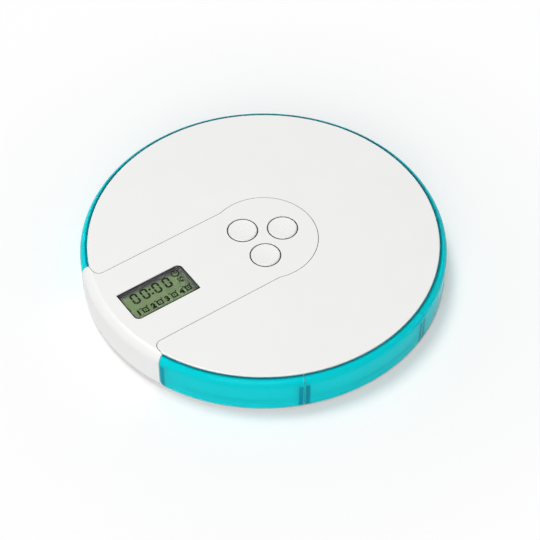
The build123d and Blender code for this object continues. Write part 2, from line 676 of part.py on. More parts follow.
# Sprung strip over the middle of the cell, held under the roof, with a tail to the board.
with BuildPart() as contact_minus:
    low = CELL_Z + CELL_H + CONTACT_T / 2
    high = WELL_ROOF_Z - CONTACT_T / 2
    with BuildSketch(Plane.XZ):
        with BuildLine():
            Polyline(
                (MINUS_TOUCH_X[0], low),
                (MINUS_TOUCH_X[1], low),
                (MINUS_RISE_X, high),
                (MINUS_X, high),
                (MINUS_X, BOARD_Z),
            )
        trace(line_width=CONTACT_T)
        with Locations((MINUS_X, BOARD_Z + CONTACT_T)):
            Rectangle(2 * CONTACT_T, 2 * CONTACT_T, mode=Mode.SUBTRACT)
    extrude(amount=CONTACT_W / 2, both=True)
contact_minus.part.label = "contact_minus"
export_step(contact_minus.part, "parts/contact_minus.step")

# Flat strip against the cell's rim, with its tail up to the board.
with BuildPart() as contact_plus:
    with BuildSketch(Plane.XY.offset(PLUS_Z)):
        with Locations((0, CELL_R + CONTACT_T / 2)):
            Rectangle(CONTACT_W, CONTACT_T)
    extrude(amount=BOARD_Z - PLUS_Z)
contact_plus.part.label = "contact_plus"
export_step(contact_plus.part, "parts/contact_plus.step")

with BuildPart() as battery_cover:
    with BuildSketch(Plane.XY.offset(FOOT_H)):
        Circle(HATCH_R)
    extrude(amount=HATCH_T)
    chamfer(battery_cover.edges().group_by(Axis.Z)[0], SMALL_EDGE)
    ring_z = FOOT_H + HATCH_T
    ring_r = HATCH_R - HATCH_RING_INSET
    with BuildSketch(Plane.XY.offset(ring_z)):
        Circle(ring_r)
        Circle(ring_r - HATCH_RING_T, mode=Mode.SUBTRACT)
    extrude(amount=NEST_Z - ring_z)
    with BuildSketch(Plane.XY.offset(ring_z)):
        Circle(CELL_RING_R)
        Circle(CELL_RING_R - HATCH_RING_T, mode=Mode.SUBTRACT)
    extrude(amount=CELL_Z - CELL_RING_GAP - ring_z)
    for lock in LOCK_DEG:
        with BuildSketch(level_plane(lock, LOCK_Z)):
            add(arc_piece(LOCK_ARC / 2, LOCK_R))
            Circle(HATCH_R - LOCK_ROOT, mode=Mode.SUBTRACT)
        extrude(amount=NEST_Z - LOCK_Z)
    with BuildSketch(Plane.XY.offset(FOOT_H)):
        SlotOverall(COIN_SLOT_L, COIN_SLOT_W)
    extrude(amount=COIN_SLOT_DEPTH, mode=Mode.SUBTRACT)
battery_cover.part.label = "battery_cover"
export_step(battery_cover.part, "parts/battery_cover.step")

# --- Screws and pads ------------------------------------------------------------------------------
with BuildPart() as housing_screws:
    with BuildSketch(Plane.XY.offset(SEAT_Z)):
        with Locations(*SCREW_SPOTS):
            Circle(SCREW_HEAD_R)
    extrude(amount=-SCREW_HEAD_H)
    with BuildSketch(Plane.XY.offset(SEAT_Z)):
        with Locations(*SCREW_SPOTS):
            Circle(SCREW_R)
    extrude(amount=PLATE_Z - SEAT_Z)
housing_screws.part.label = "housing_screws"
export_step(housing_screws.part, "parts/housing_screws.step")

with BuildPart() as foot_pads:
    with BuildSketch():
        with PolarLocations(PAD_RING_R, 4, start_angle=SECTOR_DEG):
            Circle(PAD_R)
    extrude(amount=PAD_H)
foot_pads.part.label = "foot_pads"
export_step(foot_pads.part, "parts/foot_pads.step")


# --- Drawers --------------------------------------------------------------------------------------
def build_drawer(deg):
    """Fan-shaped tray with a crowned front, two runners and a stop bar, as one moulding."""
    side_gap = PARTITION_T / 2 + SIDE_CLEAR
    gap_deg = degrees(JOINT_GAP / OUTER_R)
    with BuildPart() as drawer:
        with BuildSketch(level_plane(deg, TRAY_Z)):
            Circle(FRONT_IN_R + TRAY_IN_FRONT)
            Circle(DRAWER_REAR_R, mode=Mode.SUBTRACT)
            wedge(side_gap, Mode.INTERSECT)
        extrude(amount=TRAY_TOP_Z - TRAY_Z)
        with BuildSketch(level_plane(deg, TRAY_Z + DRAWER_WALL)) as cavity:
            Circle(FRONT_IN_R)
            Circle(DRAWER_REAR_R + DRAWER_WALL, mode=Mode.SUBTRACT)
            wedge(side_gap + DRAWER_WALL, Mode.INTERSECT)
            fillet(cavity.vertices(), CAVITY_R)
        extrude(amount=TRAY_TOP_Z - TRAY_Z, mode=Mode.SUBTRACT)
        pill_floor = TRAY_Z + DRAWER_WALL
        floor_edges = drawer.edges().filter_by_position(Axis.Z, pill_floor - 0.01, pill_floor + 0.01)
        fillet(floor_edges, CAVITY_FLOOR_R)

        with BuildSketch(profile_plane(deg - HALF_DEG + gap_deg)):
            shoulder_profile(LIP_R, True)
        revolve(axis=Axis.Z, revolution_arc=SECTOR_DEG - 2 * gap_deg)

        with BuildSketch(level_plane(deg, RUNNER_Z)):
            for side in (-1, 1):
                with Locations(((STOP_BAR_R + FRONT_IN_R + BURY) / 2, side * RUNNER_Y)):
                    Rectangle(FRONT_IN_R + BURY - STOP_BAR_R, RUNNER_T)
            with Locations((STOP_BAR_R + RUNNER_T / 2, 0)):
                Rectangle(RUNNER_T, 2 * RUNNER_Y)
        extrude(amount=RUNNER_H)

        # The fronts beside the chin are rounded at the lower corner, over the base's toe.
        for side in (-1, 1):
            joint = deg + side * HALF_DEG
            if abs(joint % 360 - CHIN_DEG) - HALF_DEG > 0.1:
                continue
            with BuildSketch(toe_plane(joint, FRONT_IN_R - 1)):
                toe_corner(-side, JOINT_GAP)
            extrude(amount=FRONT_T + 2, mode=Mode.SUBTRACT)
    return drawer.part


for number, bay in enumerate(DRAWER_DEG, start=1):
    drawer = build_drawer(bay)
    drawer.label = f"drawer_{number}"
    export_step(drawer, f"parts/drawer_{number}.step")
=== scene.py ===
"""Looks of a round pill dispenser with seven pull-out compartments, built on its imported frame."""

import bmesh
import bpy
from math import cos, radians, sin
from mathutils import Euler, Matrix, Vector


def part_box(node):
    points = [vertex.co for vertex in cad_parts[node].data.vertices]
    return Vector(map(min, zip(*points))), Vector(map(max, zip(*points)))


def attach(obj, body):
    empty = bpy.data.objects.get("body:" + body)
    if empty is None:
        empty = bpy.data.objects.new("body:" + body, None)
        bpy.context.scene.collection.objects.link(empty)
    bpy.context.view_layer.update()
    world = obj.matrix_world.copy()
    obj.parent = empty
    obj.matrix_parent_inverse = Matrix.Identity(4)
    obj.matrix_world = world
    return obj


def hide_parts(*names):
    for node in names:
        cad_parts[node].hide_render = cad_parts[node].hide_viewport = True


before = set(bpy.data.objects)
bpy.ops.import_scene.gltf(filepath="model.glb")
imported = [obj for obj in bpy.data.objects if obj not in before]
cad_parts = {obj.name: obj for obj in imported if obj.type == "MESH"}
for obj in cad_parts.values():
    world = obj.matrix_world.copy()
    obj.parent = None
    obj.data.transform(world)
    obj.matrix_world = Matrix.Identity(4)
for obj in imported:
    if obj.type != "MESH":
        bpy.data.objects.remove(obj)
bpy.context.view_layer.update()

# --- Table, light and camera ----------------------------------------------------------------------
# The dispenser lies on a plain white table. A soft light hangs high above it, a little to the left,
# and a larger one in front fills in. The camera has the photograph's viewing angle.
MM = 0.001
COVER_R = (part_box("top_cover")[1].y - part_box("top_cover")[0].y) / 2
RIM_CENTRE = Vector((0, 0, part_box("top_cover")[1].z))
IMAGE_PX = 540
FOCAL_PX = 1850.5
SENSOR_MM = 36
CAMERA_DISTANCE = 10.498 * COVER_R
CAMERA_NEAR = 10 * MM
ELEVATION = radians(47.794)
AZIMUTH = radians(34.623)
AIM_OFF = Euler((radians(-1.008), radians(-0.198), radians(-0.169)), "ZXY")
TABLE_SIZE = 6.0
TABLE_DROP = 0.05 * MM  # keeps it clear of the pads' faces, which lie at zero
TABLE_WHITE = (0.93, 0.93, 0.93, 1)
TABLE_ROUGH = 0.9
TABLE_GLOW = (0.28, 0.9)  # how much of it is plain white, near the dispenser and far from it
GLOW_R = (85 * MM, 170 * MM)
AIR_WHITE = (1, 1, 1, 1)
AIR_LIGHT = 0.32
AIR_SEEN = 1.0


def ramp(tree, value, edges, start, end, smooth=True):
    """Takes a value from one level to another between two edges. Returns its output."""
    step = tree.nodes.new("ShaderNodeMapRange")
    step.interpolation_type = "SMOOTHSTEP" if smooth else "LINEAR"
    step.inputs["From Min"].default_value = edges[0]
    step.inputs["From Max"].default_value = edges[1]
    step.inputs["To Min"].default_value = start
    step.inputs["To Max"].default_value = end
    tree.links.new(value, step.inputs["Value"])
    return step.outputs["Result"]


def combine(tree, operation, first, second):
    """Maths on two values, where the second may be a plain number. Returns the result."""
    node = tree.nodes.new("ShaderNodeMath")
    node.operation = operation
    tree.links.new(first, node.inputs[0])
    if isinstance(second, (int, float)):
        node.inputs[1].default_value = second
    else:
        tree.links.new(second, node.inputs[1])
    return node.outputs[0]


def blend_to(output, tree, share, first, second):
    """Shows the first shader where the share is nought and the second where it is one."""
    blend = tree.nodes.new("ShaderNodeMixShader")
    tree.links.new(share, blend.inputs["Fac"])
    tree.links.new(first.outputs[0], blend.inputs[1])
    tree.links.new(second.outputs[0], blend.inputs[2])
    tree.links.new(blend.outputs[0], tree.nodes[output].inputs["Surface"])


bm = bmesh.new()
table_place = Matrix.Translation((0, 0, -TABLE_DROP))
bmesh.ops.create_grid(bm, x_segments=4, y_segments=4, size=TABLE_SIZE / 2, matrix=table_place)
table_mesh = bpy.data.meshes.new("table")
bm.to_mesh(table_mesh)
bm.free()
table = bpy.data.objects.new("table", table_mesh)
bpy.context.scene.collection.objects.link(table)

table_paint = bpy.data.materials.new("table_paint")
table_paint.use_nodes = True
tree = table_paint.node_tree
paint = tree.nodes["Principled BSDF"]
paint.inputs["Base Color"].default_value = TABLE_WHITE
paint.inputs["Roughness"].default_value = TABLE_ROUGH
glow = tree.nodes.new("ShaderNodeEmission")
rays = tree.nodes.new("ShaderNodeLightPath")
place = tree.nodes.new("ShaderNodeTexCoord")
reach = tree.nodes.new("ShaderNodeVectorMath")
reach.operation = "LENGTH"
tree.links.new(place.outputs["Object"], reach.inputs[0])
outward = ramp(tree, reach.outputs["Value"], GLOW_R, *TABLE_GLOW)
seen = combine(tree, "MAXIMUM", rays.outputs["Is Camera Ray"], rays.outputs["Is Glossy Ray"])
blend_to("Material Output", tree, combine(tree, "MULTIPLY", seen, outward), paint, glow)
table_mesh.materials.append(table_paint)

world = bpy.data.worlds.new("studio")
bpy.context.scene.world = world
world.use_nodes = True
tree = world.node_tree
air = tree.nodes["Background"]
backdrop = tree.nodes.new("ShaderNodeBackground")
for light, strength in ((air, AIR_LIGHT), (backdrop, AIR_SEEN)):
    light.inputs["Color"].default_value = AIR_WHITE
    light.inputs["Strength"].default_value = strength
rays = tree.nodes.new("ShaderNodeLightPath")
blend_to("World Output", tree, rays.outputs["Is Camera Ray"], air, backdrop)

view_right = Vector((cos(AZIMUTH), -sin(AZIMUTH), 0))
view_ahead = Vector((sin(AZIMUTH), cos(AZIMUTH), 0))


def soft_light(name, right, ahead, up, size, watts):
    """Square area light at a place given along the view, facing the dispenser."""
    data = bpy.data.lights.new(name, "AREA")
    data.size = size
    data.energy = watts
    lamp = bpy.data.objects.new(name, data)
    place = view_right * right + view_ahead * ahead + Vector((0, 0, up))
    lamp.location = place
    lamp.rotation_euler = (-place).to_track_quat("-Z", "Y").to_euler()
    bpy.context.scene.collection.objects.link(lamp)


soft_light("window_light", right=-0.6, ahead=0.5, up=2.4, size=0.9, watts=36.5)
soft_light("fill_light", right=-0.3, ahead=-2.0, up=1.2, size=1.6, watts=21.0)

camera_data = bpy.data.cameras.new("camera")
camera_data.sensor_width = SENSOR_MM
camera_data.lens = FOCAL_PX / IMAGE_PX * SENSOR_MM
camera_data.clip_start = CAMERA_NEAR
camera = bpy.data.objects.new("camera", camera_data)
level_aim = Euler((radians(90) - ELEVATION, 0, -AZIMUTH)).to_matrix()
from_rim = Vector((0, 0, sin(ELEVATION))) - view_ahead * cos(ELEVATION)
camera_place = RIM_CENTRE + CAMERA_DISTANCE * from_rim
aim = (level_aim @ AIM_OFF.to_matrix()).to_4x4()
camera.matrix_world = Matrix.Translation(camera_place) @ aim
bpy.context.scene.collection.objects.link(camera)
bpy.context.scene.camera = camera
bpy.context.scene.view_settings.view_transform = "Standard"


# --- Base shell and bay frame ---------------------------------------------------------------------
# The base and the frame of walls that stands on it are injection-moulded white ABS, with a fine
# satin gloss and the faint flow marks of the moulding.
ABS_WHITE = (0.87, 0.87, 0.865, 1)
ABS_WARM = (0.845, 0.843, 0.83, 1)
ABS_ROUGH = (0.30, 0.44)
GRAIN_SCALE = 2500.0
GRAIN_DETAIL = 3.0
WAVE_SCALE = 60.0
WAVE_DETAIL = 2.0
WAVE_HEIGHT = 6.0  # of the waves, for a grain of height one
RELIEF = 0.02
RELIEF_DEPTH = 0.2 * MM


def moulded_skin():
    """Node group: fine grain and slow waviness that a moulded surface shows."""
    group = bpy.data.node_groups.new("moulded_skin", "ShaderNodeTree")
    for label, start in (("Grain Scale", GRAIN_SCALE), ("Wave Scale", WAVE_SCALE)):
        socket = group.interface.new_socket(label, in_out="INPUT", socket_type="NodeSocketFloat")
        socket.default_value = start
    for label in ("Grain", "Waves", "Height"):
        group.interface.new_socket(label, in_out="OUTPUT", socket_type="NodeSocketFloat")
    source = group.nodes.new("NodeGroupInput")
    sink = group.nodes.new("NodeGroupOutput")
    place = group.nodes.new("ShaderNodeTexCoord")
    grain = group.nodes.new("ShaderNodeTexNoise")
    grain.inputs["Detail"].default_value = GRAIN_DETAIL
    waves = group.nodes.new("ShaderNodeTexNoise")
    waves.inputs["Detail"].default_value = WAVE_DETAIL
    height = group.nodes.new("ShaderNodeMath")
    height.operation = "MULTIPLY_ADD"
    height.inputs[1].default_value = WAVE_HEIGHT
    for pattern, scale in ((grain, "Grain Scale"), (waves, "Wave Scale")):
        group.links.new(place.outputs["Object"], pattern.inputs["Vector"])
        group.links.new(source.outputs[scale], pattern.inputs["Scale"])
    group.links.new(waves.outputs["Fac"], height.inputs[0])
    group.links.new(grain.outputs["Fac"], height.inputs[2])
    group.links.new(grain.outputs["Fac"], sink.inputs["Grain"])
    group.links.new(waves.outputs["Fac"], sink.inputs["Waves"])
    group.links.new(height.outputs[0], sink.inputs["Height"])
    return group


moulded_skin_group = moulded_skin()


def moulded_plastic(name, light, dark, rough, grain_scale=GRAIN_SCALE, relief=RELIEF):
    """Plastic with two close tones, uneven gloss and a fine grain. Returns it and its shader."""
    material = bpy.data.materials.new(name)
    material.use_nodes = True
    tree = material.node_tree
    shader = tree.nodes["Principled BSDF"]
    skin = tree.nodes.new("ShaderNodeGroup")
    skin.node_tree = moulded_skin_group
    skin.inputs["Grain Scale"].default_value = grain_scale
    tones = tree.nodes.new("ShaderNodeMix")
    tones.data_type = "RGBA"
    tones.inputs["A"].default_value = dark
    tones.inputs["B"].default_value = light
    bump = tree.nodes.new("ShaderNodeBump")
    bump.inputs["Strength"].default_value = relief
    bump.inputs["Distance"].default_value = RELIEF_DEPTH
    gloss = ramp(tree, skin.outputs["Grain"], (0, 1), *rough, smooth=False)
    tree.links.new(skin.outputs["Waves"], tones.inputs["Factor"])
    tree.links.new(tones.outputs["Result"], shader.inputs["Base Color"])
    tree.links.new(gloss, shader.inputs["Roughness"])
    tree.links.new(skin.outputs["Height"], bump.inputs["Height"])
    tree.links.new(bump.outputs["Normal"], shader.inputs["Normal"])
    return material, shader


def finish_node(node, material):
    """Gives a carried-over piece its material."""
    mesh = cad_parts[node].data
    mesh.materials.clear()
    mesh.materials.append(material)


abs_white, _ = moulded_plastic("abs_white", ABS_WHITE, ABS_WARM, ABS_ROUGH)
for node in ("base_shell", "bay_frame"):
    finish_node(node, abs_white)

# --- Foot pads ------------------------------------------------------------------------------------
# Four grey rubber discs are pressed into shallow pockets of the base. Their skin is dull and
# coarser than the plastic's.
RUBBER_GREY = (0.115, 0.12, 0.125, 1)
RUBBER_DARK = (0.085, 0.088, 0.092, 1)
RUBBER_ROUGH = (0.72, 0.88)
RUBBER_GRAIN = 1400.0
RUBBER_RELIEF = 0.25
RUBBER_SHINE = 0.3

pad_rubber, shader = moulded_plastic(
    "pad_rubber", RUBBER_GREY, RUBBER_DARK, RUBBER_ROUGH, RUBBER_GRAIN, RUBBER_RELIEF
)
shader.inputs["Specular IOR Level"].default_value = RUBBER_SHINE
finish_node("foot_pads", pad_rubber)

# --- Coin cell and its contacts -------------------------------------------------------------------
# The cell is a pressed can of nickel-plated steel. Two strips of plated spring steel touch its
# top and its rim and lead up to the board.
NICKEL = (0.66, 0.65, 0.63, 1)
NICKEL_DARK = (0.58, 0.57, 0.55, 1)
NICKEL_ROUGH = (0.22, 0.38)
NICKEL_GRAIN = 1800.0
SPRING = (0.70, 0.66, 0.56, 1)
SPRING_DARK = (0.60, 0.56, 0.47, 1)
SPRING_ROUGH = (0.25, 0.36)
SPRING_GRAIN = 3000.0
PLATING_RELIEF = 0.05


def plated_metal(name, light, dark, rough, grain_scale):
    """Bright plated metal with fine uneven gloss."""
    material, shader = moulded_plastic(name, light, dark, rough, grain_scale, PLATING_RELIEF)
    shader.inputs["Metallic"].default_value = 1.0
    return material


cell_nickel = plated_metal("cell_nickel", NICKEL, NICKEL_DARK, NICKEL_ROUGH, NICKEL_GRAIN)
spring_plate = plated_metal("spring_plate", SPRING, SPRING_DARK, SPRING_ROUGH, SPRING_GRAIN)
finish_node("coin_cell", cell_nickel)
finish_node("contact_minus", spring_plate)
finish_node("contact_plus", spring_plate)

# --- Twist cover ----------------------------------------------------------------------------------
# A round white cover with a coin slot closes the battery well from below. It is moulded in the
# same ABS as the base.
finish_node("battery_cover", abs_white)

# --- Circuit board --------------------------------------------------------------------------------
# The board is glass-fibre laminate under green solder mask, with the copper runs just showing as
# lighter lines.
MASK_GREEN = (0.016, 0.125, 0.048, 1)
MASK_DARK = (0.012, 0.10, 0.04, 1)
MASK_ROUGH = (0.28, 0.4)
MASK_GRAIN = 2200.0
MASK_RELIEF = 0.03
COPPER_UNDER_MASK = (0.035, 0.20, 0.075, 1)
RUN_SCALE = 900.0
RUN_WIDTH = 0.09
RUN_LENGTH = 2.6
RUN_SPACING = 0.9
BETWEEN_RUNS = ((0, 0, 0, 1), (0.25, 0.25, 0.25, 1))
ON_RUNS = (1, 1, 1, 1)


def lay_over(material, mask, colour):
    """Lays a colour over what the material already shows, where a mask is one."""
    tree = material.node_tree
    skin = tree.nodes["Principled BSDF"].inputs["Base Color"]
    layer = tree.nodes.new("ShaderNodeMix")
    layer.data_type = "RGBA"
    layer.inputs["B"].default_value = colour
    tree.links.new(mask, layer.inputs["Factor"])
    tree.links.new(skin.links[0].from_socket, layer.inputs["A"])
    tree.links.new(layer.outputs["Result"], skin)


solder_mask, _ = moulded_plastic(
    "solder_mask", MASK_GREEN, MASK_DARK, MASK_ROUGH, MASK_GRAIN, MASK_RELIEF
)
tree = solder_mask.node_tree
place = tree.nodes.new("ShaderNodeTexCoord")
runs = tree.nodes.new("ShaderNodeTexBrick")
runs.inputs["Scale"].default_value = RUN_SCALE
runs.inputs["Color1"].default_value = BETWEEN_RUNS[0]
runs.inputs["Color2"].default_value = BETWEEN_RUNS[1]
runs.inputs["Mortar"].default_value = ON_RUNS
runs.inputs["Mortar Size"].default_value = RUN_WIDTH
runs.inputs["Brick Width"].default_value = RUN_LENGTH
runs.inputs["Row Height"].default_value = RUN_SPACING
tree.links.new(place.outputs["Object"], runs.inputs["Vector"])
lay_over(solder_mask, runs.outputs["Color"], COPPER_UNDER_MASK)
finish_node("circuit_board", solder_mask)

# --- Parts on the board ---------------------------------------------------------------------------
# The buzzer, the three switches and their plungers are black plastic, the timer chip is under a
# glossy drop of black resin, and the crystal is a small nickel can.
PLASTIC_BLACK = (0.022, 0.022, 0.023, 1)
PLASTIC_DARK = (0.016, 0.016, 0.017, 1)
PLASTIC_ROUGH = (0.42, 0.58)
RESIN_BLACK = (0.018, 0.018, 0.019, 1)
RESIN_DARK = (0.012, 0.012, 0.012, 1)
RESIN_ROUGH = (0.12, 0.24)
RESIN_GRAIN = 700.0
KEY_PLACES = ("right", "upper_left", "lower_left")

black_plastic, _ = moulded_plastic("black_plastic", PLASTIC_BLACK, PLASTIC_DARK, PLASTIC_ROUGH)
chip_resin, _ = moulded_plastic("chip_resin", RESIN_BLACK, RESIN_DARK, RESIN_ROUGH, RESIN_GRAIN)
finish_node("buzzer", black_plastic)
finish_node("timer_chip", chip_resin)
finish_node("clock_crystal", cell_nickel)
for key in KEY_PLACES:
    finish_node(f"switch_{key}", black_plastic)
    finish_node(f"plunger_{key}", black_plastic)

# --- Contact strips -------------------------------------------------------------------------------
# Two silicone strips join the LCD to the board. Each is a stack of thin layers, by turns
# conducting carbon and plain silicone, so that it is finely striped along its length.
SILICONE_PINK = (0.62, 0.45, 0.42, 1)
SILICONE_DARK = (0.5, 0.36, 0.34, 1)
SILICONE_ROUGH = (0.6, 0.75)
CARBON = (0.03, 0.03, 0.03, 1)
LAYER_SCALE = 1400.0

zebra_silicone, _ = moulded_plastic(
    "zebra_silicone", SILICONE_PINK, SILICONE_DARK, SILICONE_ROUGH
)
tree = zebra_silicone.node_tree
place = tree.nodes.new("ShaderNodeTexCoord")
layers = tree.nodes.new("ShaderNodeTexWave")
layers.bands_direction = "X"
layers.inputs["Scale"].default_value = LAYER_SCALE
tree.links.new(place.outputs["Object"], layers.inputs["Vector"])
lay_over(zebra_silicone, layers.outputs["Fac"], CARBON)
finish_node("contact_strips", zebra_silicone)

# --- LCD ------------------------------------------------------------------------------------------
# A reflective liquid-crystal glass, grey-green where nothing is lit. Along its far edge and towards
# its right end it carries a painted shade that stands for the shadow of the frame's walls.
LCD_GREEN = (0.126, 0.178, 0.088, 1)
LCD_GREEN_LOW = (0.106, 0.156, 0.070, 1)
LCD_PAINTED_SHADE = (0.050, 0.051, 0.054, 1)
LCD_ROUGH = (0.35, 0.45)
LCD_GRAIN = 3500.0
LCD_SHINE = 0.1
LCD_TOP_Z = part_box("lcd_glass")[1].z
FAR_PAINTED_SHADE_Y = (4.3 * MM, 6.0 * MM)
END_PAINTED_SHADE_X = (-38.0 * MM, -34.0 * MM)
END_PAINTED_SHADE_MOST = 0.75


def object_axes(tree):
    """The X, Y and Z of a place on the dispenser, as outputs."""
    place = tree.nodes.new("ShaderNodeTexCoord")
    axes = tree.nodes.new("ShaderNodeSeparateXYZ")
    tree.links.new(place.outputs["Object"], axes.inputs[0])
    return axes.outputs


lcd_film, shader = moulded_plastic("lcd_film", LCD_GREEN, LCD_GREEN_LOW, LCD_ROUGH, LCD_GRAIN)
tree = lcd_film.node_tree
axes = object_axes(tree)
# Painted shade: the frame's shadow on the far edge and towards the right end.
far_painted_shade = ramp(tree, axes["Y"], FAR_PAINTED_SHADE_Y, 0, 1)
end_painted_shade = ramp(tree, axes["X"], END_PAINTED_SHADE_X, 0, END_PAINTED_SHADE_MOST)
lay_over(lcd_film, combine(tree, "MAXIMUM", far_painted_shade, end_painted_shade), LCD_PAINTED_SHADE)
shader.inputs["Specular IOR Level"].default_value = LCD_SHINE
finish_node("lcd_glass", lcd_film)

# --- LCD segments ---------------------------------------------------------------------------------
# The lit segments are flat black shapes just over the glass: a clock at zero, a clock sign, the
# two halves of the day, and four alarms with their numbers.
SEGMENT_BLACK = (0.008, 0.012, 0.006, 1)
SEGMENT_DARK = (0.005, 0.008, 0.004, 1)
SEGMENT_ROUGH = (0.5, 0.6)
SEGMENT_SHINE = 0.05
SEGMENT_RISE = 0.02 * MM
SEGMENT_T = 0.03 * MM
DIGIT_H = 5.2 * MM
DIGIT_W = 3.0 * MM
DIGIT_STROKE = 0.78 * MM
DIGIT_GAP = 0.02 * MM
DIGIT_FOOT_Y = 0.15 * MM
DIGIT_LEFT_X = (-57.5 * MM, -53.2 * MM, -48.0 * MM, -43.45 * MM)
COLON_X = -49.15 * MM
COLON_Y = (1.25 * MM, 3.6 * MM)
COLON_SIDE = 1.25 * MM
CLOCK_SPOT = Vector((-37.05, 4.85, 0)) * MM
CLOCK_R = 1.7 * MM
CLOCK_STROKE = 0.55 * MM
MINUTE_HAND = Vector((0, 0.62 * CLOCK_R, 0))
HOUR_HAND = Vector((0.58 * CLOCK_R, 0, 0))
HAND_STROKE = 0.7 * CLOCK_STROKE
ALARM_X = (-55.6 * MM, -49.2 * MM, -42.9 * MM, -36.8 * MM)
ALARM_Y = -3.85 * MM
ALARM_R = 1.75 * MM
ALARM_STROKE = 0.55 * MM
PIVOT_R = 0.5 * ALARM_STROKE
BELL_X = 0.62 * ALARM_R
BELL_Y = 0.95 * ALARM_R
BELL_L = 0.42 * ALARM_R
BELL_FALL = 0.2 * ALARM_R
NUMBER_X = (-58.4 * MM, -52.1 * MM, -46.0 * MM, -39.7 * MM)
NUMBER_H = 2.7 * MM
NUMBER_WEIGHT = 0.06
HALF_DAY_H = 1.2 * MM
HALF_DAY_WEIGHT = 0.02
HALF_DAY_SPOTS = (("AM", Vector((-37.0, 2.0, 0)) * MM), ("PM", Vector((-37.0, 0.5, 0)) * MM))
ON_CORNER = radians(45)  # turns a four-cornered spot so that its sides lie level and upright


def bar(bm, start, end, width):
    """Flat bar with pointed ends."""
    along = (end - start).normalized() * (width / 2)
    across = Vector((-along.y, along.x, 0))
    there = (start, start + along - across, end - along - across)
    back = (end, end - along + across, start + along + across)
    bm.faces.new([bm.verts.new(corner) for corner in there + back])


def flat_dot(bm, centre, radius, corners, turn):
    """Small flat spot. Returns its face."""
    place = Matrix.Translation(centre) @ Matrix.Rotation(turn, 4, "Z")
    made = bmesh.ops.create_circle(
        bm, cap_ends=True, segments=corners, radius=radius, matrix=place
    )
    return made["verts"][0].link_faces[0]


def flat_ring(bm, centre, radius, stroke, corners, turn):
    """Flat ring, or a square frame with four corners."""
    disc = flat_dot(bm, centre, radius, corners, turn)
    bmesh.ops.inset_region(
        bm, faces=[disc], thickness=stroke, use_boundary=True, use_even_offset=True
    )
    bmesh.ops.delete(bm, geom=[disc], context="FACES")


def flat_words(bm, words, height, centre, weight):
    """Letters or numbers of a given height, centred on a place."""
    curve = bpy.data.curves.new("words", "FONT")
    curve.body = words
    curve.offset = weight
    holder = bpy.data.objects.new("words", curve)
    mesh = bpy.data.meshes.new_from_object(holder)
    before = len(bm.verts)
    bm.from_mesh(mesh)
    bm.verts.ensure_lookup_table()
    letters = bm.verts[before:]
    low = Vector([min(vert.co[axis] for vert in letters) for axis in range(3)])
    high = Vector([max(vert.co[axis] for vert in letters) for axis in range(3)])
    sized = Matrix.Scale(height / (high.y - low.y), 4)
    place = Matrix.Translation(centre) @ sized @ Matrix.Translation(-(low + high) / 2)
    bmesh.ops.transform(bm, matrix=place, verts=letters)
    bpy.data.objects.remove(holder)
    bpy.data.curves.remove(curve)


def piece_from(bm, name, material, body):
    """Turns a finished bmesh into a piece that rides on a body."""
    mesh = bpy.data.meshes.new(name)
    bm.to_mesh(mesh)
    bm.free()
    mesh.materials.append(material)
    piece = bpy.data.objects.new(name, mesh)
    bpy.context.scene.collection.objects.link(piece)
    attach(piece, body)
    return piece


bm = bmesh.new()
half_stroke = DIGIT_STROKE / 2
left, right = half_stroke, DIGIT_W - half_stroke
foot, head = half_stroke, DIGIT_H - half_stroke
waist = DIGIT_H / 2
ends = ((left, foot), (left, waist), (left, head), (right, head), (right, waist), (right, foot))
for digit_x in DIGIT_LEFT_X:
    before = len(bm.verts)
    for start, end in zip(ends, ends[1:] + ends[:1]):
        start, end = Vector((*start, 0)), Vector((*end, 0))
        step = (end - start).normalized() * DIGIT_GAP
        bar(bm, start + step, end - step, DIGIT_STROKE)
    bm.verts.ensure_lookup_table()
    bmesh.ops.translate(bm, vec=(digit_x, DIGIT_FOOT_Y, 0), verts=bm.verts[before:])
for dot_y in COLON_Y:
    flat_dot(bm, Vector((COLON_X, dot_y, 0)), COLON_SIDE / 2, corners=4, turn=ON_CORNER)
flat_ring(bm, CLOCK_SPOT, CLOCK_R, CLOCK_STROKE, corners=32, turn=0)
for hand in (MINUTE_HAND, HOUR_HAND):
    bar(bm, CLOCK_SPOT, CLOCK_SPOT + hand, HAND_STROKE)
for alarm_x in ALARM_X:
    centre = Vector((alarm_x, ALARM_Y, 0))
    flat_ring(bm, centre, ALARM_R, ALARM_STROKE, corners=4, turn=ON_CORNER)
    flat_dot(bm, centre, PIVOT_R, corners=8, turn=0)
    for side in (-1, 1):
        bell = centre + Vector((side * BELL_X, BELL_Y, 0))
        bar(bm, bell, bell + Vector((side * BELL_L, -BELL_FALL, 0)), ALARM_STROKE)
for number, number_x in enumerate(NUMBER_X, start=1):
    flat_words(bm, str(number), NUMBER_H, Vector((number_x, ALARM_Y, 0)), NUMBER_WEIGHT)
for words, spot in HALF_DAY_SPOTS:
    flat_words(bm, words, HALF_DAY_H, spot, HALF_DAY_WEIGHT)
bmesh.ops.recalc_face_normals(bm, faces=bm.faces)
solid = bmesh.ops.extrude_face_region(bm, geom=bm.faces[:])
risen = [part for part in solid["geom"] if isinstance(part, bmesh.types.BMVert)]
bmesh.ops.translate(bm, vec=(0, 0, SEGMENT_T), verts=risen)
bmesh.ops.translate(bm, vec=(0, 0, LCD_TOP_Z + SEGMENT_RISE), verts=bm.verts)
bmesh.ops.recalc_face_normals(bm, faces=bm.faces)
segment_black, shader = moulded_plastic(
    "segment_black", SEGMENT_BLACK, SEGMENT_DARK, SEGMENT_ROUGH
)
shader.inputs["Specular IOR Level"].default_value = SEGMENT_SHINE
lcd_segments = piece_from(bm, "lcd_segments", segment_black, "housing")

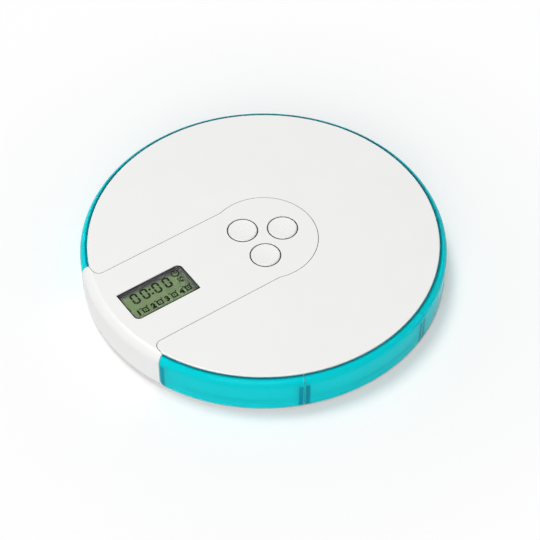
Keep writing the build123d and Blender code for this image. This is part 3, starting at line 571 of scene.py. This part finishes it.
# --- Display frame and lens -----------------------------------------------------------------------
# A dark frame holds the LCD. Its lip is inked black and shows as a thin line round the clear lens,
# which sits just under the panel's face and is coated against glare.
CHARCOAL = (0.170, 0.171, 0.178, 1)
CHARCOAL_DARK = (0.140, 0.141, 0.148, 1)
CHARCOAL_ROUGH = (0.6, 0.75)
CHARCOAL_SHINE = 0.1
LIP_INK = (0.006, 0.006, 0.006, 1)
LIP_INK_Z = (16.45 * MM, 16.55 * MM)
LENS_CLEAR = (1, 1, 1, 1)
LENS_TINT = (0.985, 0.99, 0.985, 1)
LENS_ROUGH = (0.0, 0.03)
LENS_GRAIN = 900.0
LENS_IOR = 1.15  # below real acrylic's, with which the lens went hazy over the dark display
LENS_SHINE = 0.1
LENS_SHADOW = (0.97, 0.97, 0.97, 1)

frame_charcoal, shader = moulded_plastic(
    "frame_charcoal", CHARCOAL, CHARCOAL_DARK, CHARCOAL_ROUGH
)
shader.inputs["Specular IOR Level"].default_value = CHARCOAL_SHINE
tree = frame_charcoal.node_tree
on_lip = ramp(tree, object_axes(tree)["Z"], LIP_INK_Z, 0, 1, smooth=False)
lay_over(frame_charcoal, on_lip, LIP_INK)
finish_node("lcd_frame", frame_charcoal)


def lets_lamps_through(material, tint):
    """Lets lamplight pass a clear material with a tint, so that what is behind it is lit."""
    tree = material.node_tree
    rays = tree.nodes.new("ShaderNodeLightPath")
    clear = tree.nodes.new("ShaderNodeBsdfTransparent")
    clear.inputs["Color"].default_value = tint
    shader = tree.nodes["Principled BSDF"]
    blend_to("Material Output", tree, rays.outputs["Is Shadow Ray"], shader, clear)


lens_acrylic, shader = moulded_plastic(
    "lens_acrylic", LENS_CLEAR, LENS_TINT, LENS_ROUGH, LENS_GRAIN, relief=0.0
)
shader.inputs["Transmission Weight"].default_value = 1.0
shader.inputs["IOR"].default_value = LENS_IOR
shader.inputs["Specular IOR Level"].default_value = LENS_SHINE
lets_lamps_through(lens_acrylic, LENS_SHADOW)
finish_node("display_window", lens_acrylic)

# --- Control panel and top cover ------------------------------------------------------------------
# The keyhole-shaped panel and the round cover beside it are white ABS too, and lie flush. The walls
# and floors of the narrow gaps between them carry a painted shade, so that the gaps read as dark
# lines.
GAP_PAINTED_SHADE = (0.045, 0.045, 0.047, 1)
GAP_MAX_R = (66.0 * MM, 66.1 * MM)
GAP_TOP_Z = (16.45 * MM, 16.6 * MM)
GAP_UP = (-0.6, -0.4)


def from_axis(tree, axes):
    """Distance from the dispenser's upright axis."""
    square_x = combine(tree, "MULTIPLY", axes["X"], axes["X"])
    square_y = combine(tree, "MULTIPLY", axes["Y"], axes["Y"])
    return combine(tree, "POWER", combine(tree, "ADD", square_x, square_y), 0.5)


def both(tree, first, second):
    """Where two masks overlap."""
    return combine(tree, "MULTIPLY", first, second)


def dusty_gaps():
    """Node group: where the painted shade goes, on walls and floors of the gaps below the top face,
    and not on what faces down.
    """
    group = bpy.data.node_groups.new("dusty_gaps", "ShaderNodeTree")
    group.interface.new_socket("Gap", in_out="OUTPUT", socket_type="NodeSocketFloat")
    sink = group.nodes.new("NodeGroupOutput")
    axes = object_axes(group)
    place = group.nodes.new("ShaderNodeTexCoord")
    facing = group.nodes.new("ShaderNodeSeparateXYZ")
    group.links.new(place.outputs["Normal"], facing.inputs[0])
    inward = ramp(group, from_axis(group, axes), GAP_MAX_R, 1, 0)
    below = ramp(group, axes["Z"], GAP_TOP_Z, 1, 0)
    upward = ramp(group, facing.outputs["Z"], GAP_UP, 0, 1)
    group.links.new(both(group, both(group, inward, below), upward), sink.inputs["Gap"])
    return group


gap_painted_shade_group = dusty_gaps()


def darken_gaps(material):
    """Adds the painted shade of the gaps to a white plastic."""
    gaps = material.node_tree.nodes.new("ShaderNodeGroup")
    gaps.node_tree = gap_painted_shade_group
    lay_over(material, gaps.outputs["Gap"], GAP_PAINTED_SHADE)


panel_white, _ = moulded_plastic("panel_white", ABS_WHITE, ABS_WARM, ABS_ROUGH)
darken_gaps(panel_white)
for node in ("control_panel", "top_cover"):
    finish_node(node, panel_white)

# --- Keys -----------------------------------------------------------------------------------------
# Three round white keys with a shallow finger dish, moulded in ABS. They are a little glossier
# than the panel.
KEY_WHITE = (0.88, 0.88, 0.875, 1)
KEY_WARM = (0.86, 0.86, 0.855, 1)
KEY_ROUGH = (0.22, 0.32)

key_white, _ = moulded_plastic("key_white", KEY_WHITE, KEY_WARM, KEY_ROUGH)
# The keys' sides below the top face carry the same painted gap shade.
darken_gaps(key_white)
for key in KEY_PLACES:
    finish_node(f"button_{key}", key_white)

# --- Compartment drawers --------------------------------------------------------------------------
# Seven fan-shaped trays moulded in clear teal styrene. The polished fronts are thick enough to
# look nearly solid. On them are painted darker stripes that stand for the trays' side walls seen
# through, painted light along their ends, and painted shade on the lip under the cover.
TEAL_LIGHT = (0.003, 0.94, 0.99, 1)
TEAL_DEEP = (0.002, 0.90, 0.96, 1)
# Painted shade for the side walls seen through the fronts.
TEAL_STRIPE_PAINTED_SHADE = (0.002, 0.46, 0.60, 1)
# Painted light along the fronts' ends.
TEAL_END_PAINTED_LIGHT = (0.04, 0.95, 0.98, 1)
# Painted shade on the lip under the cover.
TEAL_LIP_PAINTED_SHADE = (0.002, 0.25, 0.29, 1)
TEAL_SHADOW = (0.10, 0.34, 0.36, 1)
TEAL_ROUGH = (0.08, 0.14)
TEAL_GRAIN = 900.0
TEAL_RELIEF = 0.01
TEAL_CLEAR = 0.5
TEAL_IOR = 1.18  # below real styrene's, with which the fronts went grey from the white room
TEAL_SHINE = 0.1
DRAWERS = 7
SECTOR = radians(45)
JOINT_SHIFT = 0.5 + 2 * DRAWERS  # half a sector, and whole ones that keep the angle above nought
FRONT_R = (68.25 * MM, 68.45 * MM)
END_D = (0.25 * MM, 0.45 * MM)
STRIPE_D = (1.7 * MM, 2.5 * MM)
STRIPE_TOP_Z = (12.4 * MM, 13.2 * MM)
LIP_R = (67.7 * MM, 68.5 * MM)
LIP_Z = (15.0 * MM, 15.2 * MM)


def front_marks():
    """Node group: where a drawer front gets painted shade for the wall seen behind it, painted
    light at its own end, and painted shade on its lip.
    """
    group = bpy.data.node_groups.new("front_marks", "ShaderNodeTree")
    for label in ("Stripe", "End", "Lip"):
        group.interface.new_socket(label, in_out="OUTPUT", socket_type="NodeSocketFloat")
    sink = group.nodes.new("NodeGroupOutput")
    axes = object_axes(group)
    radius = from_axis(group, axes)
    angle = combine(group, "ARCTAN2", axes["Y"], axes["X"])
    turns = combine(group, "ADD", combine(group, "DIVIDE", angle, SECTOR), JOINT_SHIFT)
    off_joint = combine(group, "MULTIPLY", combine(group, "PINGPONG", turns, 0.5), SECTOR)
    distance = combine(group, "MULTIPLY", off_joint, radius)
    on_front = ramp(group, radius, FRONT_R, 0, 1)
    at_end = ramp(group, distance, END_D, 1, 0)
    past_end = ramp(group, distance, END_D, 0, 1)
    by_wall = both(group, past_end, ramp(group, distance, STRIPE_D, 1, 0))
    low = ramp(group, axes["Z"], STRIPE_TOP_Z, 1, 0)
    inward = ramp(group, radius, LIP_R, 1, 0)
    at_lip = both(group, inward, ramp(group, axes["Z"], LIP_Z, 0, 1))
    stripe = both(group, both(group, by_wall, low), on_front)
    group.links.new(stripe, sink.inputs["Stripe"])
    group.links.new(both(group, at_end, on_front), sink.inputs["End"])
    group.links.new(at_lip, sink.inputs["Lip"])
    return group


teal_styrene, shader = moulded_plastic(
    "teal_styrene", TEAL_LIGHT, TEAL_DEEP, TEAL_ROUGH, TEAL_GRAIN, TEAL_RELIEF
)
shader.inputs["Transmission Weight"].default_value = TEAL_CLEAR
shader.inputs["IOR"].default_value = TEAL_IOR
shader.inputs["Specular IOR Level"].default_value = TEAL_SHINE
marks = teal_styrene.node_tree.nodes.new("ShaderNodeGroup")
marks.node_tree = front_marks()
# Painted shade as stripes and on the lip, painted light along the fronts' ends.
for mark, mark_colour in (("Stripe", TEAL_STRIPE_PAINTED_SHADE), ("End", TEAL_END_PAINTED_LIGHT), ("Lip", TEAL_LIP_PAINTED_SHADE)):
    lay_over(teal_styrene, marks.outputs[mark], mark_colour)
lets_lamps_through(teal_styrene, TEAL_SHADOW)
for number in range(1, DRAWERS + 1):
    finish_node(f"drawer_{number}", teal_styrene)

# --- Housing screws -------------------------------------------------------------------------------
# Five pan-head self-tapping screws with a cross recess, in zinc-plated steel, come up through the
# base and the board into the panel's bosses.
ZINC = (0.60, 0.61, 0.62, 1)
ZINC_DARK = (0.50, 0.51, 0.53, 1)
ZINC_ROUGH = (0.28, 0.42)
ZINC_GRAIN = 2600.0
HEAD_R = 1.85 * MM
HEAD_H = 1.35 * MM
HEAD_EDGE = 0.35 * MM
HEAD_EDGE_RISE = 0.3 * HEAD_EDGE
HEAD_FACE_R = 1.3 * MM
SHANK_R = 0.98 * MM
ROOT_R = 0.74 * MM
THREAD_PITCH = 0.8 * MM
ROOT_START = 0.25 * THREAD_PITCH
ROOT_END = 0.75 * THREAD_PITCH
SMOOTH_L = 4.0 * MM
TIP_L = 1.4 * MM
RECESS_R = 0.95 * MM
RECESS_HALF_W = 0.21 * MM
RECESS_DEPTH = 0.75 * MM
RECESS_TAPER = 0.72
SCREW_STEPS = 24
WELD = 0.002 * MM
CAD_HEAD_H = 1.4 * MM
screws_low, screws_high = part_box("housing_screws")
SEAT_Z = screws_low.z + CAD_HEAD_H
HEAD_Z = SEAT_Z - HEAD_H
RING_R = 17 * MM
RING_ANGLES = (radians(60), radians(180), radians(300))
RING_SPOTS = [Vector((cos(angle), sin(angle), 0)) * RING_R for angle in RING_ANGLES]
CHIN_SPOTS = [Vector((-55.0, side, 0)) * MM for side in (-14.5, 14.5)]

outline = [(HEAD_FACE_R, HEAD_Z), (HEAD_R - HEAD_EDGE, HEAD_Z + HEAD_EDGE_RISE)]
outline += [(HEAD_R, HEAD_Z + HEAD_EDGE), (HEAD_R, SEAT_Z)]
outline += [(SHANK_R, SEAT_Z), (SHANK_R, SEAT_Z + SMOOTH_L)]
ridge_z = SEAT_Z + SMOOTH_L
while ridge_z + THREAD_PITCH < screws_high.z - TIP_L:
    outline += [(ROOT_R, ridge_z + ROOT_START), (ROOT_R, ridge_z + ROOT_END)]
    outline += [(SHANK_R, ridge_z + THREAD_PITCH)]
    ridge_z += THREAD_PITCH
outline += [(ROOT_R, screws_high.z - TIP_L), (0.0, screws_high.z - WELD)]

bm = bmesh.new()
rim = [bm.verts.new((radius, 0, height)) for radius, height in outline]
wires = [bm.edges.new(pair) for pair in zip(rim, rim[1:])]
bmesh.ops.spin(
    bm, geom=rim + wires, axis=(0, 0, 1), cent=(0, 0, 0), angle=radians(360), steps=SCREW_STEPS,
    use_merge=True,
)
bmesh.ops.remove_doubles(bm, verts=bm.verts, dist=WELD)
face_rim = [edge for edge in bm.edges if edge.is_boundary]

quarter = (
    (RECESS_R, -RECESS_HALF_W), (RECESS_R, RECESS_HALF_W), (RECESS_HALF_W, RECESS_HALF_W)
)
cross = []
for turn in range(4):
    spin = Matrix.Rotation(radians(90 * turn), 4, "Z")
    cross += [bm.verts.new(spin @ Vector((*corner, HEAD_Z))) for corner in quarter]
cross_edges = [bm.edges.new(pair) for pair in zip(cross, cross[1:] + cross[:1])]
bmesh.ops.triangle_fill(bm, edges=face_rim + cross_edges, use_beauty=True)
walls = bmesh.ops.extrude_edge_only(bm, edges=cross_edges)["geom"]
deep = [part for part in walls if isinstance(part, bmesh.types.BMVert)]
floor_edges = [part for part in walls if isinstance(part, bmesh.types.BMEdge)]
bmesh.ops.scale(bm, vec=(RECESS_TAPER, RECESS_TAPER, 1), verts=deep)
bmesh.ops.translate(bm, vec=(0, 0, RECESS_DEPTH), verts=deep)
bmesh.ops.contextual_create(bm, geom=floor_edges)
bmesh.ops.recalc_face_normals(bm, faces=bm.faces)

first = bm.verts[:] + bm.edges[:] + bm.faces[:]
first_verts = bm.verts[:]
for spot in RING_SPOTS + CHIN_SPOTS:
    copied = bmesh.ops.duplicate(bm, geom=first)["geom"]
    copied_verts = [part for part in copied if isinstance(part, bmesh.types.BMVert)]
    bmesh.ops.translate(bm, vec=spot, verts=copied_verts)
bmesh.ops.delete(bm, geom=first_verts, context="VERTS")
screw_zinc = plated_metal("screw_zinc", ZINC, ZINC_DARK, ZINC_ROUGH, ZINC_GRAIN)
pan_head_screws = piece_from(bm, "pan_head_screws", screw_zinc, "housing")
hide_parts("housing_screws")
